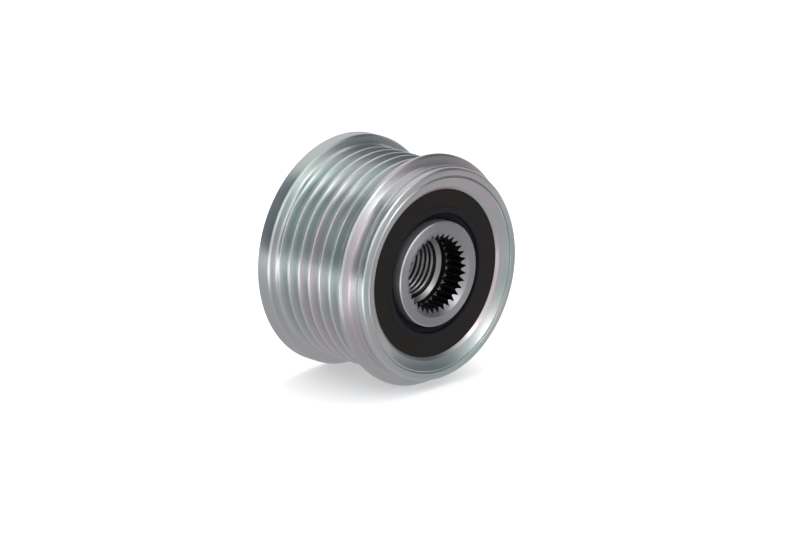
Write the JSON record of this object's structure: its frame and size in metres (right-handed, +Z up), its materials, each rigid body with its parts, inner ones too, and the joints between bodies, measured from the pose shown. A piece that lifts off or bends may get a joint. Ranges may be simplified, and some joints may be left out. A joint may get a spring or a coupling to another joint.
{
  "type": "alternator freewheel pulley",
  "caption": "Grooved belt pulley for an alternator with a one-way roller clutch inside, threaded hub with internal serration, and end seals.",
  "frame": {"origin": "on the axis, in the plane of the hub's rear seat", "axes": "+Y along the axis towards the alternator, so the serrated front opens towards -Y; +Z up, +X to the right seen from the front"},
  "size_m": [0.0584, 0.0377, 0.0584],
  "materials": {
    "zinc_plated_steel": "turned steel, bright zinc plated",
    "hub_steel": "turned and broached steel, lightly oiled",
    "race_steel": "hardened and ground bearing steel",
    "roller_steel": "polished bearing steel",
    "spring_steel": "blued spring leaf",
    "cage_polymer": "moulded glass-filled polymer",
    "seal_case": "rubber-covered seal case, brown-black, satin",
    "seal_rubber": "seal lip rubber, bluish black, smooth"
  },
  "bodies": {
    "hub_side": {"hub": "hub_steel", "inner_ramp_sleeve": "race_steel", "clutch_cage": "cage_polymer", "clutch_spring_1": "spring_steel", "clutch_spring_2": "spring_steel", "clutch_spring_3": "spring_steel", "clutch_spring_4": "spring_steel", "clutch_spring_5": "spring_steel", "clutch_spring_6": "spring_steel", "clutch_spring_7": "spring_steel", "clutch_spring_8": "spring_steel", "clutch_spring_9": "spring_steel", "clutch_spring_10": "spring_steel"},
    "pulley": {"pulley_ring": "zinc_plated_steel", "outer_race_sleeve": "race_steel", "front_seal_case": "seal_case", "front_seal_lip": "seal_rubber", "rear_seal_case": "seal_case", "rear_seal_lip": "seal_rubber", "front_thrust_washer": "race_steel", "rear_thrust_washer": "race_steel"},
    "front_bearing": {"front_bearing_cage": "cage_polymer", "front_bearing_needles": "roller_steel"},
    "rear_bearing": {"rear_bearing_cage": "cage_polymer", "rear_bearing_needles": "roller_steel"},
    "roller_1": {"clutch_roller_1": "roller_steel"},
    "roller_2": {"clutch_roller_2": "roller_steel"},
    "roller_3": {"clutch_roller_3": "roller_steel"},
    "roller_4": {"clutch_roller_4": "roller_steel"},
    "roller_5": {"clutch_roller_5": "roller_steel"},
    "roller_6": {"clutch_roller_6": "roller_steel"},
    "roller_7": {"clutch_roller_7": "roller_steel"},
    "roller_8": {"clutch_roller_8": "roller_steel"},
    "roller_9": {"clutch_roller_9": "roller_steel"},
    "roller_10": {"clutch_roller_10": "roller_steel"}
  },
  "joints": [
    {"name": "ring_spin", "type": "hinge", "parent": "hub_side", "child": "pulley", "pos_m": [0, -0.01885, 0], "axis": [0, -1, 0], "continuous": true},
    {"name": "front_bearing_orbit", "type": "hinge", "parent": "hub_side", "child": "front_bearing", "pos_m": [0, -0.0282, 0], "axis": [0, -1, 0], "continuous": true},
    {"name": "rear_bearing_orbit", "type": "hinge", "parent": "hub_side", "child": "rear_bearing", "pos_m": [0, -0.0117, 0], "axis": [0, -1, 0], "continuous": true},
    {"name": "roller_1_spin", "type": "hinge", "parent": "hub_side", "child": "roller_1", "pos_m": [0, -0.01992, 0.01745], "axis": [0, -1, 0], "continuous": true},
    {"name": "roller_2_spin", "type": "hinge", "parent": "hub_side", "child": "roller_2", "pos_m": [-0.01026, -0.01992, 0.01412], "axis": [0, -1, 0], "continuous": true},
    {"name": "roller_3_spin", "type": "hinge", "parent": "hub_side", "child": "roller_3", "pos_m": [-0.0166, -0.01992, 0.00539], "axis": [0, -1, 0], "continuous": true},
    {"name": "roller_4_spin", "type": "hinge", "parent": "hub_side", "child": "roller_4", "pos_m": [-0.0166, -0.01992, -0.00539], "axis": [0, -1, 0], "continuous": true},
    {"name": "roller_5_spin", "type": "hinge", "parent": "hub_side", "child": "roller_5", "pos_m": [-0.01026, -0.01992, -0.01412], "axis": [0, -1, 0], "continuous": true},
    {"name": "roller_6_spin", "type": "hinge", "parent": "hub_side", "child": "roller_6", "pos_m": [0, -0.01992, -0.01745], "axis": [0, -1, 0], "continuous": true},
    {"name": "roller_7_spin", "type": "hinge", "parent": "hub_side", "child": "roller_7", "pos_m": [0.01026, -0.01992, -0.01412], "axis": [0, -1, 0], "continuous": true},
    {"name": "roller_8_spin", "type": "hinge", "parent": "hub_side", "child": "roller_8", "pos_m": [0.0166, -0.01992, -0.00539], "axis": [0, -1, 0], "continuous": true},
    {"name": "roller_9_spin", "type": "hinge", "parent": "hub_side", "child": "roller_9", "pos_m": [0.0166, -0.01992, 0.00539], "axis": [0, -1, 0], "continuous": true},
    {"name": "roller_10_spin", "type": "hinge", "parent": "hub_side", "child": "roller_10", "pos_m": [0.01026, -0.01992, 0.01412], "axis": [0, -1, 0], "continuous": true}
  ],
  "couplings": [
    {"joint": "front_bearing_orbit", "follows": "ring_spin", "ratio": 0.55014},
    {"joint": "rear_bearing_orbit", "follows": "ring_spin", "ratio": 0.55014},
    {"joint": "roller_1_spin", "follows": "ring_spin", "ratio": 11.098},
    {"joint": "roller_2_spin", "follows": "ring_spin", "ratio": 11.098},
    {"joint": "roller_3_spin", "follows": "ring_spin", "ratio": 11.098},
    {"joint": "roller_4_spin", "follows": "ring_spin", "ratio": 11.098},
    {"joint": "roller_5_spin", "follows": "ring_spin", "ratio": 11.098},
    {"joint": "roller_6_spin", "follows": "ring_spin", "ratio": 11.098},
    {"joint": "roller_7_spin", "follows": "ring_spin", "ratio": 11.098},
    {"joint": "roller_8_spin", "follows": "ring_spin", "ratio": 11.098},
    {"joint": "roller_9_spin", "follows": "ring_spin", "ratio": 11.098},
    {"joint": "roller_10_spin", "follows": "ring_spin", "ratio": 11.098}
  ]
}
